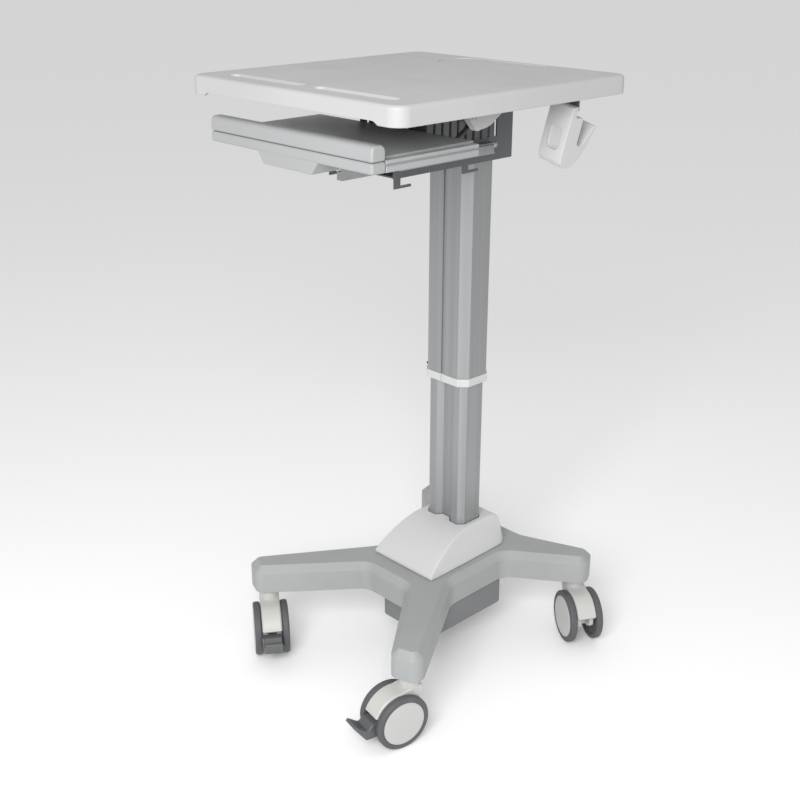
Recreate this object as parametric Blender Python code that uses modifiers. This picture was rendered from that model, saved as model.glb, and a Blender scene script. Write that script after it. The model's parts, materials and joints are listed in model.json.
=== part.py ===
"""Height-adjustable mobile work cart: worksurface, keyboard tray, lifting column and caster base."""

import math

import bmesh
import bpy
from mathutils import Matrix, Vector

# Frame: +Z up, -Y towards the user, +X the user's right. All lengths in metres.
touch_gap = 0.0003
weld = 0.00001
column_y = 0.1175

# Worksurface
top_width = 0.485
top_depth = 0.5135
top_thickness = 0.030
top_height = 1.076
top_front_y = column_y - 0.380
top_skin = 0.006
rim_wall = 0.005
corner_radius = 0.024
skirt_notch = 0.006
skirt_notch_half = 0.213
trough_length = 0.182
trough_width = 0.026
trough_depth = 0.004
trough_inset = 0.0345
recess_half = 0.108
recess_length = 0.088
recess_radius = 0.036
recess_depth = 0.002
recess_rear_land = 0.0155

# Column
outer_width = 0.104
outer_depth = 0.075
outer_chamfer = 0.015
outer_wall = 0.0035
outer_bottom = 0.540
foot_depth = 0.030
foot_floor = 0.006
head_plate = 0.008
head_half = 0.062
groove_width = 0.007
groove_depth = 0.002
inner_width = 0.094
inner_depth = 0.060
inner_chamfer = 0.010
inner_wall = 0.003
inner_top = 0.765
channel_top = 0.040
channel_floor = 0.021
channel_depth = 0.0095
ring_height = 0.015
ring_proud = 0.0015
ring_clear = 0.0008
glide_height = 0.030
glide_clear = 0.0004

# Gas spring
cylinder_radius = 0.0135
cylinder_wall = 0.0025
cylinder_top = 0.700
rod_radius = 0.005
piston_clear = 0.0004
piston_top = 0.585
piston_height = 0.012

# Bracket
bracket_half = 0.078
sheet = 0.003
bracket_floor = top_height - 0.142
bracket_rear_y = column_y + 0.041
bracket_front_y = column_y - 0.1615
tongue_front_y = column_y - 0.232
tongue_wall_top = bracket_floor + 0.036
flange_width = 0.020
gusset_reach = 0.046
lap = 0.001
slot_count = 9
slot_pitch = 0.018
slot_width = 0.006
slot_low = bracket_floor + 0.039
slot_high = bracket_floor + 0.092
slot_last_y = column_y - 0.001
screw_z = bracket_floor + 0.025
screw_radius = 0.0045
screw_shank = 0.0022
cable_hooks = ((-0.231, 0.016, 0.036), (-0.078, 0.013, 0.037))

# Keyboard tray
tray_half = 0.190
tray_front_y = column_y - 0.380
tray_depth = 0.217
lip_depth = 0.027
lip_top = top_height - 0.059
tray_top = top_height - 0.0785
tray_parting = top_height - 0.083
tray_bottom = top_height - 0.0995
belly_half_top = 0.070
belly_half_low = 0.057
belly_bottom = top_height - 0.118
belly_depth = 0.150
shell_wall = 0.0028
rail_width = 0.012
rail_low = tray_bottom + 0.0005
rail_high = tray_parting + 0.0015
slide_low = bracket_floor + 0.014
slide_high = bracket_floor + 0.032
slide_depth = 0.012
slide_length = 0.215
runner_length = 0.330

# Release lever and bag hook, measured down from the worksurface
lever_y = column_y - 0.150
lever_z = top_height - 0.047
lever_low_x = 0.150
lever_high_x = 0.166
lever_bore = 0.0032
hook_low_x = top_width / 2 - 0.0905
hook_high_x = top_width / 2 - 0.0425
hook_lean = 13.0
hook_y = top_front_y + top_depth - 0.1335
hook_z = top_height - 0.036

# Base
base_low = 0.125
base_side_top = 0.166
base_top = 0.178
cover_top = 0.243
cover_wall = 0.003
cover_crease_half = 0.058
cover_clear = 0.001
caster_front_x = 0.193
caster_front_y = column_y - 0.307
caster_rear_x = 0.184
caster_rear_y = column_y + 0.152
box_left = -0.032
box_right = 0.095
box_front_y = column_y - 0.158
box_rear_y = column_y + 0.038
box_low = 0.070

# Casters
wheel_radius = 0.050
wheel_trail = 0.030
wheel_in = 0.0195
wheel_out = 0.0325
tyre_round = 0.003
disc_radius = 0.0400
axle_radius = 0.004
body_half = 0.0185
neck_radius = 0.0185
stem_radius = 0.0055
stem_rise = 0.028
stem_floor = 0.100
axle_half = 0.027
wheel_steps = 36
caster_headings = (-34.0, -101.0, -30.0, -150.0)
pedal_pin = (0.056, 0.052)
pin_radius = 0.002
pedal_clear = 0.00008
tongue_half = 0.008
pedal_half = 0.0170

underside = top_height - top_skin
body_colours = {
    "white": (0.80, 0.80, 0.79, 0.42, 0.0),
    "grey_top": (0.50, 0.50, 0.50, 0.48, 0.0),
    "tray_grey": (0.47, 0.48, 0.49, 0.46, 0.0),
    "base_grey": (0.40, 0.42, 0.42, 0.50, 0.0),
    "steel_dark": (0.10, 0.105, 0.11, 0.50, 0.35),
    "alu": (0.42, 0.43, 0.44, 0.38, 0.75),
    "alu_light": (0.55, 0.56, 0.57, 0.40, 0.55),
    "chrome": (0.75, 0.76, 0.77, 0.22, 1.0),
    "tyre": (0.11, 0.115, 0.12, 0.65, 0.0),
    "cap": (0.42, 0.42, 0.41, 0.45, 0.0),
    "cream": (0.63, 0.62, 0.59, 0.45, 0.0),
    "black": (0.03, 0.03, 0.032, 0.55, 0.0),
    "box": (0.11, 0.115, 0.12, 0.52, 0.1),
}

for old in list(bpy.data.objects):
    bpy.data.objects.remove(old)
cart = bpy.data.collections.new("medication_cart")
cutters = bpy.data.collections.new("cutters")
bpy.context.scene.collection.children.link(cart)
bpy.context.scene.collection.children.link(cutters)
cutters.hide_render = True


def make_material(name, key):
    red, green, blue, rough, metal = body_colours[key]
    material = bpy.data.materials.new("mat_" + name)
    material.use_nodes = True
    shader = material.node_tree.nodes["Principled BSDF"]
    shader.inputs["Base Color"].default_value = (red, green, blue, 1.0)
    shader.inputs["Roughness"].default_value = rough
    shader.inputs["Metallic"].default_value = metal
    return material


def place(name, mesh_data, key, cutter=False):
    obj = bpy.data.objects.new(name, mesh_data)
    if cutter:
        cutters.objects.link(obj)
        obj.display_type = "WIRE"
        obj.hide_render = True
    else:
        cart.objects.link(obj)
        obj.data.materials.append(make_material(name, key))
    return obj


def to_mesh(bm, name):
    bmesh.ops.recalc_face_normals(bm, faces=bm.faces)
    data = bpy.data.meshes.new(name)
    bm.to_mesh(data)
    bm.free()
    return data


def evaluated_mesh(data, name, modifiers=()):
    """Reads the mesh that a curve, or a mesh with modifiers, makes, and welds its seams."""
    helper = bpy.data.objects.new(name + "_helper", data)
    cutters.objects.link(helper)
    for kind, settings in modifiers:
        modifier = helper.modifiers.new(kind, kind)
        for key, value in settings.items():
            setattr(modifier, key, value)
    bpy.context.view_layer.update()
    graph = bpy.context.evaluated_depsgraph_get()
    made = bpy.data.meshes.new_from_object(helper.evaluated_get(graph))
    bpy.data.objects.remove(helper)
    bm = bmesh.new()
    bm.from_mesh(made)
    bpy.data.meshes.remove(made)
    bmesh.ops.remove_doubles(bm, verts=bm.verts, dist=weld)
    return bm


axis_turn = {
    "X": Matrix(((0, 0, 1, 0), (1, 0, 0, 0), (0, 1, 0, 0), (0, 0, 0, 1))),
    "Y": Matrix(((1, 0, 0, 0), (0, 0, 1, 0), (0, 1, 0, 0), (0, 0, 0, 1))),
    "Z": Matrix.Identity(4),
}


def prism_mesh(name, outline, low, high, axis="Z"):
    """Fills a flat outline and extrudes it from low to high along the axis."""
    curve = bpy.data.curves.new(name, "CURVE")
    curve.dimensions = "2D"
    curve.fill_mode = "BOTH"
    curve.extrude = (high - low) / 2
    spline = curve.splines.new("POLY")
    spline.points.add(len(outline) - 1)
    for point, (first, second) in zip(spline.points, outline):
        point.co = (first, second, 0, 1)
    spline.use_cyclic_u = True
    bm = evaluated_mesh(curve, name)
    bmesh.ops.dissolve_limit(bm, angle_limit=0.001, verts=bm.verts, edges=bm.edges)
    bmesh.ops.translate(bm, vec=(0, 0, (low + high) / 2), verts=bm.verts)
    bmesh.ops.transform(bm, matrix=axis_turn[axis], verts=bm.verts)
    return to_mesh(bm, name)


def prism_object(name, outline, low, high, key, axis="Z", cutter=False):
    return place(name, prism_mesh(name, outline, low, high, axis), key, cutter)


def box_object(name, low, high, key, cutter=False):
    bm = bmesh.new()
    bmesh.ops.create_cube(bm, size=1.0)
    size = [top - bottom for bottom, top in zip(low, high)]
    middle = [(top + bottom) / 2 for bottom, top in zip(low, high)]
    bmesh.ops.scale(bm, vec=size, verts=bm.verts)
    bmesh.ops.translate(bm, vec=middle, verts=bm.verts)
    return place(name, to_mesh(bm, name), key, cutter)


def rounded_rect(half_x, low_y, high_y, radius, steps=6, centre_x=0.0):
    corners = [
        (centre_x + half_x - radius, low_y + radius, -90),
        (centre_x + half_x - radius, high_y - radius, 0),
        (centre_x - half_x + radius, high_y - radius, 90),
        (centre_x - half_x + radius, low_y + radius, 180),
    ]
    outline = []
    for corner_x, corner_y, start in corners:
        for step in range(steps + 1):
            angle = math.radians(start + 90 * step / steps)
            outline.append((corner_x + radius * math.cos(angle), corner_y + radius * math.sin(angle)))
    return outline


def fillet(points, steps=5):
    """Rounds the corners of a closed outline given as (x, y, radius)."""
    count = len(points)
    outline = []
    for index in range(count):
        here = Vector(points[index][:2])
        before = Vector(points[index - 1][:2]) - here
        after = Vector(points[(index + 1) % count][:2]) - here
        radius = points[index][2]
        if radius <= 0:
            outline.append(tuple(here))
            continue
        before.normalize()
        after.normalize()
        half = before.angle(after) / 2
        reach = radius / math.tan(half)
        centre = here + (before + after).normalized() * (radius / math.sin(half))
        first = here + before * reach - centre
        last = here + after * reach - centre
        turn = first.angle_signed(last)
        for step in range(steps + 1):
            angle = -turn * step / steps
            cos_a, sin_a = math.cos(angle), math.sin(angle)
            spin = (first[0] * cos_a - first[1] * sin_a, first[0] * sin_a + first[1] * cos_a)
            outline.append((centre[0] + spin[0], centre[1] + spin[1]))
    return outline


def inset_corners(points, distance):
    """Moves a closed anticlockwise outline of (x, y, radius) inwards and keeps its rounding concentric."""
    count = len(points)
    moved = []
    for index in range(count):
        here = Vector(points[index][:2])
        back = (here - Vector(points[index - 1][:2])).normalized()
        on = (Vector(points[(index + 1) % count][:2]) - here).normalized()
        back_in = Vector((-back[1], back[0]))
        on_in = Vector((-on[1], on[0]))
        shift = (back_in + on_in) * (distance / (1 + back_in.dot(on_in)))
        convex = back[0] * on[1] - back[1] * on[0] > 0
        radius = points[index][2] - distance if convex else points[index][2] + distance
        moved.append((here[0] + shift[0], here[1] + shift[1], radius))
    return moved


def octagon(width, depth, chamfer, centre_y=column_y):
    half_x, half_y = width / 2, depth / 2
    return [
        (-half_x + chamfer, centre_y - half_y),
        (half_x - chamfer, centre_y - half_y),
        (half_x, centre_y - half_y + chamfer),
        (half_x, centre_y + half_y - chamfer),
        (half_x - chamfer, centre_y + half_y),
        (-half_x + chamfer, centre_y + half_y),
        (-half_x, centre_y + half_y - chamfer),
        (-half_x, centre_y - half_y + chamfer),
    ]


def boolean(obj, cutter, operation="DIFFERENCE"):
    modifier = obj.modifiers.new("bool_" + cutter.name, "BOOLEAN")
    modifier.object = cutter
    modifier.operation = operation
    modifier.solver = "EXACT"


def bevel(obj, width, segments=2, angle=35):
    modifier = obj.modifiers.new("round", "BEVEL")
    modifier.width = width
    modifier.segments = segments
    modifier.limit_method = "ANGLE"
    modifier.angle_limit = math.radians(angle)
    modifier.use_clamp_overlap = True


def apply_all(obj):
    """Replaces the object's mesh with its evaluated one, so that it can be cut again or shared."""
    graph = bpy.context.evaluated_depsgraph_get()
    data = bpy.data.meshes.new_from_object(obj.evaluated_get(graph))
    obj.modifiers.clear()
    obj.data = data


def turned_mesh(name, profile, axis, centre, steps=32):
    """Screws a (radius, along) profile round an axis."""
    bm = bmesh.new()
    chain = [bm.verts.new((radius, 0, along)) for radius, along in profile]
    pairs = list(zip(chain, chain[1:]))
    if profile[0][0] > 0:
        pairs.append((chain[-1], chain[0]))
    for first, second in pairs:
        bm.edges.new((first, second))
    data = bpy.data.meshes.new(name)
    bm.to_mesh(data)
    bm.free()
    screw = {
        "axis": "Z", "steps": steps, "render_steps": steps, "use_merge_vertices": True,
        "merge_threshold": weld, "use_smooth_shade": False,
    }
    bm = evaluated_mesh(data, name, [("SCREW", screw)])
    bmesh.ops.transform(bm, matrix=Matrix.Translation(centre) @ axis_turn[axis], verts=bm.verts)
    return to_mesh(bm, name)


def turned_object(name, profile, axis, centre, key, steps=32, cutter=False):
    return place(name, turned_mesh(name, profile, axis, centre, steps), key, cutter)


def smooth(obj, angle=35):
    obj.data.shade_smooth()
    obj.data.set_sharp_from_angle(angle=math.radians(angle))


def union_boxes(obj, boxes):
    for index, (low, high) in enumerate(boxes):
        boolean(obj, box_object(f"{obj.name}_add{index}", low, high, "white", True), "UNION")


def build_base():
    y0 = column_y
    right = [
        (0.052, y0 - 0.179, 0.030),
        (0.183, y0 - 0.341, 0.016),
        (0.237, y0 - 0.3205, 0.020),
        (0.099, y0 - 0.108, 0.045),
        (0.097, y0 + 0.040, 0.035),
        (0.225, y0 + 0.134, 0.020),
        (0.202, y0 + 0.180, 0.018),
        (0.070, y0 + 0.128, 0.030),
    ]
    left = [(-x, y, radius) for x, y, radius in reversed(right)]
    corners = right + left
    levels = [(0.0, base_low), (0.0, base_side_top), (base_top - base_side_top, base_top)]
    bm = bmesh.new()
    rings = []
    for distance, z in levels:
        outline = fillet(inset_corners(corners, distance))
        rings.append([bm.verts.new((x, y, z)) for x, y in outline])
    for first, second in zip(rings, rings[1:]):
        for index in range(len(first)):
            after = (index + 1) % len(first)
            bm.faces.new((first[index], first[after], second[after], second[index]))
    bm.faces.new(rings[0][::-1])
    bm.faces.new(rings[-1])
    base = place("base_frame", to_mesh(bm, "base_frame"), "base_grey")
    for index, (x, y) in enumerate(caster_places()):
        hole = [(0, -0.01), (stem_radius + touch_gap, -0.01), (stem_radius + touch_gap, stem_rise + 0.001)]
        hole.append((0, stem_rise + 0.001))
        cutter = turned_object(f"stem_hole{index}", hole, "Z", (x, y, base_low), "white", 24, True)
        boolean(base, cutter)
    foot = octagon(inner_width + 2 * touch_gap, inner_depth + 2 * touch_gap, inner_chamfer)
    low, high = base_top - foot_depth, base_top + 0.01
    boolean(base, prism_object("foot_socket", foot, low, high, "white", "Z", True))
    smooth(base)
    return base


def parent_to(name, location, children):
    """Hangs the named pieces on an empty that stands on their joint's axis."""
    empty = bpy.data.objects.new(name, None)
    empty.location = location
    cart.objects.link(empty)
    bpy.context.view_layer.update()
    for child_name in children:
        child = bpy.data.objects[child_name]
        child.parent = empty
        child.matrix_parent_inverse = empty.matrix_world.inverted()
    return empty


def caster_places():
    return [
        (-caster_front_x, caster_front_y),
        (caster_front_x, caster_front_y),
        (caster_rear_x, caster_rear_y),
        (-caster_rear_x, caster_rear_y),
    ]


def hump(bm, inset):
    """A hump: its sections run front to rear, each from one foot over the top to the other."""
    y0 = column_y
    foot_z = base_top + touch_gap - (0.02 if inset else 0.0)
    sections = [
        (y0 - 0.138, 0.077, 0.076, 0.186),
        (y0 - 0.118, 0.077, 0.072, 0.203),
        (y0 - 0.095, 0.077, 0.068, 0.219),
        (y0 - 0.070, 0.076, 0.064, 0.232),
        (y0 - 0.045, 0.076, 0.061, 0.240),
        (y0 - 0.020, 0.075, cover_crease_half, cover_top),
        (y0 + 0.052, 0.073, cover_crease_half, cover_top),
        (y0 + 0.062, 0.072, 0.061, 0.236),
        (y0 + 0.070, 0.071, 0.068, base_top + 0.004),
    ]
    rings = []
    for index, (y, foot_half, crease_half, top_z) in enumerate(sections):
        if index == 0:
            y += inset
        if index == len(sections) - 1:
            y -= inset
        half = foot_half - inset
        crease = crease_half - inset
        high = top_z - inset
        ring = [(-half, foot_z), (-crease, high), (0.0, high + 0.0015), (crease, high), (half, foot_z)]
        rings.append([bm.verts.new((x, y, z)) for x, z in ring])
    for first, second in zip(rings, rings[1:]):
        for index in range(5):
            after = (index + 1) % 5
            bm.faces.new((first[index], first[after], second[after], second[index]))
    bm.faces.new(rings[0][::-1])
    bm.faces.new(rings[-1])


def build_cover():
    bm = bmesh.new()
    hump(bm, 0.0)
    cover = place("base_cover", to_mesh(bm, "base_cover"), "white")
    bevel(cover, 0.004, 3, 25)
    apply_all(cover)
    bm = bmesh.new()
    hump(bm, cover_wall)
    boolean(cover, place("hump_hollow", to_mesh(bm, "hump_hollow"), "white", True))
    half_x, half_y = inner_width / 2 + cover_clear, inner_depth / 2 + cover_clear
    low, high = column_y - half_y, column_y + half_y
    foot, tip = channel_top / 2 - 1.5 * cover_clear, channel_floor / 2 - 1.5 * cover_clear
    tongue_y = column_y - inner_depth / 2 + channel_depth - cover_clear
    chamfer = inner_chamfer
    grown = [
        (-half_x + chamfer, low), (-foot, low), (-tip, tongue_y), (tip, tongue_y), (foot, low),
        (half_x - chamfer, low), (half_x, low + chamfer), (half_x, high - chamfer),
        (half_x - chamfer, high), (-half_x + chamfer, high), (-half_x, high - chamfer),
        (-half_x, low + chamfer),
    ]
    boolean(cover, prism_object("cover_hole", grown, base_top, cover_top + 0.05, "white", "Z", True))
    smooth(cover)


def build_box():
    centre_x = (box_left + box_right) / 2
    half = (box_right - box_left) / 2
    outline = rounded_rect(half, box_front_y, box_rear_y, 0.008, 3, centre_x)
    box = prism_object("ballast_box", outline, box_low, base_low - touch_gap, "box")
    bevel(box, 0.004, 2)
    smooth(box)


def channelled(width, depth, chamfer):
    half_x, half_y = width / 2, depth / 2
    top, floor = channel_top / 2, channel_floor / 2
    low, high = column_y - half_y, column_y + half_y
    return [
        (-half_x + chamfer, low), (-top, low), (-floor, low + channel_depth), (floor, low + channel_depth),
        (top, low), (half_x - chamfer, low), (half_x, low + chamfer), (half_x, high - chamfer),
        (half_x - chamfer, high), (top, high), (floor, high - channel_depth), (-floor, high - channel_depth),
        (-top, high), (-half_x + chamfer, high), (-half_x, high - chamfer), (-half_x, low + chamfer),
    ]


def build_column():
    foot = base_top - foot_depth + touch_gap
    section = channelled(inner_width, inner_depth, inner_chamfer)
    inner = prism_object("column_inner", section, foot, inner_top, "alu")
    hollow_half = inner_width / 2 - inner_wall
    low = column_y - inner_depth / 2 + channel_depth + inner_wall
    high = column_y + inner_depth / 2 - channel_depth - inner_wall
    hollow = [(-hollow_half, low), (hollow_half, low), (hollow_half, high), (-hollow_half, high)]
    bore_low = foot + foot_floor
    boolean(inner, prism_object("inner_bore", hollow, bore_low, inner_top + 0.01, "white", "Z", True))

    head = underside - sheet - touch_gap - head_plate
    section = octagon(outer_width, outer_depth, outer_chamfer)
    outer = prism_object("column_outer", section, outer_bottom, head, "alu")
    narrow = outer_chamfer - outer_wall * (2 - math.sqrt(2))
    bore = octagon(outer_width - 2 * outer_wall, outer_depth - 2 * outer_wall, narrow)
    boolean(outer, prism_object("outer_bore", bore, outer_bottom - 0.01, head + 0.01, "white", "Z", True))
    for index, side in enumerate((-1, 1)):
        face = column_y + side * outer_depth / 2
        low_y, high_y = sorted((face - side * groove_depth, face + side * 0.01))
        groove = box_object(
            f"groove{index}", (-groove_width / 2, low_y, outer_bottom - 0.01),
            (groove_width / 2, high_y, head + 0.01), "white", True,
        )
        boolean(outer, groove)

    ring_low = outer_bottom - touch_gap - ring_height
    grown = outer_width + 2 * ring_proud
    ring = prism_object(
        "column_ring", octagon(grown, outer_depth + 2 * ring_proud, outer_chamfer), ring_low,
        outer_bottom - touch_gap, "white",
    )
    clear = octagon(inner_width + 2 * ring_clear, inner_depth + 2 * ring_clear, inner_chamfer)
    bevel(ring, 0.0012, 2)
    apply_all(ring)
    boolean(ring, prism_object("ring_hole", clear, ring_low - 0.01, outer_bottom + 0.01, "white", "Z", True))
    ring_front = column_y - outer_depth / 2 - ring_proud
    notch_low = (-groove_width / 2, ring_front - 0.01, ring_low - 0.01)
    notch_high = (groove_width / 2, ring_front + groove_depth, outer_bottom + 0.01)
    boolean(ring, box_object("ring_notch", notch_low, notch_high, "white", True))

    glide_width = outer_width - 2 * outer_wall - 2 * touch_gap
    glide_depth = outer_depth - 2 * outer_wall - 2 * touch_gap
    section = octagon(glide_width, glide_depth, narrow)
    glide_top = outer_bottom + glide_height
    glide = prism_object("column_glide", section, outer_bottom, glide_top, "black")
    close = octagon(inner_width + 2 * glide_clear, inner_depth + 2 * glide_clear, inner_chamfer)
    low, high = outer_bottom - 0.01, glide_top + 0.01
    boolean(glide, prism_object("glide_hole", close, low, high, "white", "Z", True))

    plate = box_object(
        "column_head", (-head_half, column_y - 0.036, head + touch_gap),
        (head_half, column_y + 0.036, underside - sheet - touch_gap), "steel_dark",
    )
    bevel(plate, 0.002, 2)
    apply_all(plate)
    smooth(plate)
    return foot, head


def build_gas_spring(foot, head):
    centre = (0.0, column_y, 0.0)
    low = foot + foot_floor + touch_gap
    outer, bore = cylinder_radius, cylinder_radius - cylinder_wall
    cylinder = [
        (0, low), (outer, low), (outer, cylinder_top), (rod_radius + piston_clear, cylinder_top),
        (rod_radius + piston_clear, cylinder_top - 0.010), (bore, cylinder_top - 0.010), (bore, low + 0.010),
        (0, low + 0.010),
    ]
    smooth(turned_object("gas_cylinder", cylinder, "Z", centre, "black", 32))
    piston = bore - piston_clear
    rod = [
        (0, piston_top - piston_height), (piston, piston_top - piston_height), (piston, piston_top),
        (rod_radius, piston_top), (rod_radius, head), (0, head),
    ]
    smooth(turned_object("gas_rod", rod, "Z", centre, "chrome", 24))


def build_bracket():
    half = bracket_half
    top = underside - touch_gap
    floor_top = bracket_floor + sheet
    bracket = box_object(
        "bracket", (-half + lap, tongue_front_y + lap, bracket_floor + lap / 2),
        (half - lap, bracket_rear_y - lap, floor_top), "steel_dark",
    )
    inner = half - sheet
    gusset_y = bracket_front_y - gusset_reach
    profile = [
        (tongue_front_y, bracket_floor), (bracket_rear_y, bracket_floor), (bracket_rear_y, top - lap),
        (gusset_y, top - lap), (gusset_y, top - 0.030), (bracket_front_y, top - 0.062),
        (bracket_front_y, tongue_wall_top), (tongue_front_y, tongue_wall_top),
    ]
    for index, (low, high) in enumerate(((-half, -inner), (inner, half))):
        wall = prism_object(f"side_wall{index}", profile, low, high, "white", "X", True)
        boolean(bracket, wall, "UNION")
    flange_low = top - sheet
    flange_half = half + flange_width
    flange = box_object(
        "flange", (-flange_half, gusset_y - lap, flange_low),
        (flange_half, bracket_rear_y + lap, top), "white", True,
    )
    boolean(bracket, flange, "UNION")
    thin = lap / 4
    for side in (-1, 1):
        near, far = sorted((side * (half - sheet + thin), side * (half - thin)))
        for offset, drop, reach in cable_hooks:
            front, low = column_y + offset, bracket_floor - drop
            toe = [
                (front, bracket_floor + lap), (front, low), (front + reach, low),
                (front + reach, low + 0.004), (front + 0.013, low + 0.004),
                (front + 0.013, bracket_floor + lap),
            ]
            hook = prism_object(f"cable_hook{side}{drop}", toe, near, far, "white", "X", True)
            boolean(bracket, hook, "UNION")
    hole = octagon(outer_width + 2 * touch_gap, outer_depth + 2 * touch_gap, outer_chamfer)
    low, high = bracket_floor - 0.01, floor_top + 0.01
    boolean(bracket, prism_object("floor_hole", hole, low, high, "white", "Z", True))
    gap_half = outer_width / 2 - outer_chamfer + 0.003
    gap_low = (-gap_half, column_y, low)
    gap_high = (gap_half, bracket_rear_y + 0.01, high)
    boolean(bracket, box_object("rear_gap", gap_low, gap_high, "white", True))
    for index in range(slot_count):
        y = slot_last_y - index * slot_pitch
        low = (-half - 0.01, y - slot_width / 2, slot_low)
        high = (half + 0.01, y + slot_width / 2, slot_high)
        boolean(bracket, box_object(f"slot{index}", low, high, "white", True))
    for index, side in enumerate((-1, 1)):
        hole = [(0, -0.01), (screw_shank + touch_gap, -0.01), (screw_shank + touch_gap, 0.01), (0, 0.01)]
        centre = (side * (half - sheet / 2), slot_last_y, screw_z)
        boolean(bracket, turned_object(f"screw_hole{index}", hole, "X", centre, "white", 16, True))
        side_name = "r" if side > 0 else "l"
        face = half + touch_gap
        screw = [
            (0, side * (face - 0.008)), (screw_shank, side * (face - 0.008)), (screw_shank, side * face),
            (screw_radius, side * face), (screw_radius, side * (face + 0.0012)),
            (screw_radius * 0.7, side * (face + 0.0024)), (0, side * (face + 0.0024)),
        ]
        centre = (0, slot_last_y, screw_z)
        smooth(turned_object("bracket_screw_" + side_name, screw, "X", centre, "chrome", 20))


def build_worksurface():
    low = top_height - top_thickness
    rear = top_front_y + top_depth
    outline = rounded_rect(top_width / 2, top_front_y, rear, corner_radius, 8)
    top = prism_object("worksurface", outline, low, top_height, "grey_top")
    bevel(top, 0.0032, 2, 60)
    apply_all(top)
    inner_radius = corner_radius - rim_wall
    inner_front, inner_rear = top_front_y + rim_wall, rear - rim_wall
    inner = rounded_rect(top_width / 2 - rim_wall, inner_front, inner_rear, inner_radius, 8)
    boolean(top, prism_object("top_hollow", inner, low - 0.01, underside, "white", "Z", True))
    notch = [
        (-skirt_notch_half, low - 0.01), (skirt_notch_half, low - 0.01), (skirt_notch_half, low),
        (skirt_notch_half - 0.018, low + skirt_notch), (-skirt_notch_half + 0.018, low + skirt_notch),
        (-skirt_notch_half, low),
    ]
    front_cut = prism_object("skirt_cut", notch, top_front_y - 0.01, top_front_y + 0.05, "white", "Y", True)
    boolean(top, front_cut)
    for index, side in enumerate((-1, 1)):
        centre_x = side * (0.012 + trough_length / 2)
        low_y = top_front_y + trough_inset
        high_y, end_radius = low_y + trough_width, trough_width / 2 - weld
        outline = rounded_rect(trough_length / 2, low_y, high_y, end_radius, 8, centre_x)
        low, high = top_height - trough_depth, top_height + 0.004
        trough = prism_object(f"trough{index}", outline, low, high, "white", "Z", True)
        bevel(trough, 0.0025, 2, 60)
        boolean(top, trough)
    recess_rear = rear - recess_rear_land
    recess_front = recess_rear - recess_length
    outline = rounded_rect(recess_half, recess_front, recess_rear, recess_radius)
    low, high = top_height - recess_depth, top_height + 0.004
    boolean(top, prism_object("recess", outline, low, high, "white", "Z", True))
    smooth(top, 30)


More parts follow.
